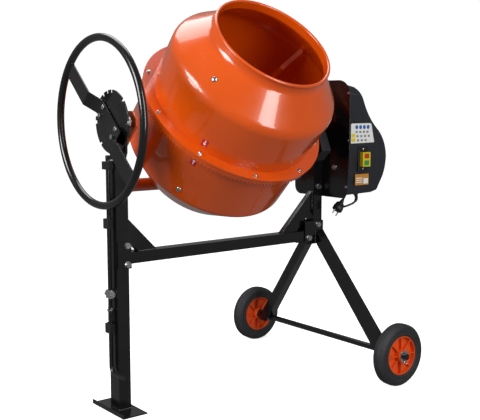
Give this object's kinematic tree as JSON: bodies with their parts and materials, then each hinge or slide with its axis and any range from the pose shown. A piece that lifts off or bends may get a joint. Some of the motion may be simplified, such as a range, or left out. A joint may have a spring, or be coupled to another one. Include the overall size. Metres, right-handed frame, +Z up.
{
  "type": "concrete mixer",
  "caption": "Tilting-drum concrete mixer on a wheeled tube frame, with a handwheel, a notched lock disc, a ring gear and an electric drive under a cover.",
  "frame": {"origin": "on the floor under the centre of the foot leg, midway between the wheels", "axes": "+X along the rail to the motor, -Y the side the drum mouth leans to, +Z up"},
  "size_m": [1.0463, 0.8, 1.2123],
  "materials": {
    "orange_enamel": "gloss",
    "black_frame_paint": "gloss",
    "cover_paint": "satin",
    "guard_paint": "satin",
    "zinc_steel": "satin",
    "bright_steel": "satin",
    "grey_iron": "matt",
    "motor_alloy": "matt",
    "tyre_rubber": "matt",
    "belt_rubber": "matt",
    "wheel_plastic": "satin",
    "black_plastic": "satin",
    "yellow_plastic": "gloss",
    "green_plastic": "gloss",
    "red_plastic": "gloss",
    "cord_rubber": "satin"
  },
  "bodies": {
    "frame": {"foot_plate": "black_frame_paint", "foot_leg": "black_frame_paint", "rail": "black_frame_paint", "rail_braces": "black_frame_paint", "clamp_plates": "black_frame_paint", "motor_post": "black_frame_paint", "joint_plates": "black_frame_paint", "axle_struts": "black_frame_paint", "axle": "black_frame_paint", "axle_spacers": "black_frame_paint", "axle_fasteners": "zinc_steel", "rod_guides": "black_frame_paint", "lock_spring": "black_frame_paint", "bearing_bracket": "black_frame_paint", "trunnion_bushes": "black_plastic", "belt": "belt_rubber", "motor": "motor_alloy", "motor_mount": "grey_iron", "back_plate": "black_frame_paint", "motor_cover": "cover_paint", "housing_screws": "zinc_steel", "switch_plate": "black_plastic", "switch_box": "yellow_plastic", "mains_cord": "cord_rubber", "cord_gland": "black_plastic", "mains_plug": "black_plastic", "plug_prongs": "bright_steel", "frame_bolts": "zinc_steel"},
    "front_wheel": {"front_tyre": "tyre_rubber", "front_rim": "wheel_plastic"},
    "rear_wheel": {"rear_tyre": "tyre_rubber", "rear_rim": "wheel_plastic"},
    "lock": {"lock_rod": "black_frame_paint", "lock_pawl": "black_frame_paint", "rod_fittings": "zinc_steel"},
    "yoke": {"yoke_left_arm": "orange_enamel", "yoke_right_arm": "orange_enamel", "yoke_cross_tube": "orange_enamel", "spindle": "bright_steel", "left_trunnion": "bright_steel", "right_trunnion": "bright_steel", "trunnion_nut": "zinc_steel", "lock_disc": "black_frame_paint", "handwheel_rim": "black_frame_paint", "handwheel_bar": "black_frame_paint", "hub_screws": "zinc_steel", "pinion_guard": "guard_paint"},
    "drum": {"drum_upper_shell": "orange_enamel", "drum_lower_shell": "orange_enamel", "drum_hub": "grey_iron", "ring_gear": "orange_enamel", "mixing_paddles": "orange_enamel", "drum_bolts": "zinc_steel"},
    "drive": {"pinion": "grey_iron", "drive_shaft": "bright_steel", "large_pulley": "motor_alloy"},
    "rotor": {"motor_pulley": "motor_alloy"},
    "start": {"start_button": "green_plastic"},
    "stop": {"stop_button": "red_plastic"}
  },
  "joints": [
    {"name": "yoke_tilt", "type": "hinge", "parent": "frame", "child": "yoke", "pos_m": [0.399, 0, 0.849], "axis": [1, 0, 0], "range_deg": [-45, 90]},
    {"name": "drum_spin", "type": "hinge", "parent": "yoke", "child": "drum", "pos_m": [0.399, 0, 0.849], "axis": [0, -0.7009, 0.7133], "continuous": true},
    {"name": "pinion_spin", "type": "hinge", "parent": "yoke", "child": "drive", "pos_m": [0.399, 0, 0.849], "axis": [1, 0, 0], "continuous": true},
    {"name": "motor_spin", "type": "hinge", "parent": "frame", "child": "rotor", "pos_m": [0.815, 0, 0.7], "axis": [1, 0, 0], "continuous": true},
    {"name": "front_wheel_spin", "type": "hinge", "parent": "frame", "child": "front_wheel", "pos_m": [0.813, -0.36, 0.1], "axis": [0, 1, 0], "continuous": true},
    {"name": "rear_wheel_spin", "type": "hinge", "parent": "frame", "child": "rear_wheel", "pos_m": [0.813, 0.36, 0.1], "axis": [0, 1, 0], "continuous": true},
    {"name": "lock_slide", "type": "slide", "parent": "frame", "child": "lock", "axis": [0, 0, 1], "range_m": [0, 0.008], "stiffness_N_per_m": 600, "springref_m": -0.01, "deforming": ["lock_spring"]},
    {"name": "start_push", "type": "slide", "parent": "frame", "child": "start", "axis": [0, 1, 0], "range_m": [0, 0.002], "stiffness_N_per_m": 300},
    {"name": "stop_push", "type": "slide", "parent": "frame", "child": "stop", "axis": [0, 1, 0], "range_m": [0, 0.002], "stiffness_N_per_m": 300}
  ],
  "couplings": [
    {"joint": "pinion_spin", "follows": "drum_spin", "ratio": -10},
    {"joint": "motor_spin", "follows": "drum_spin", "ratio": -37.273}
  ]
}
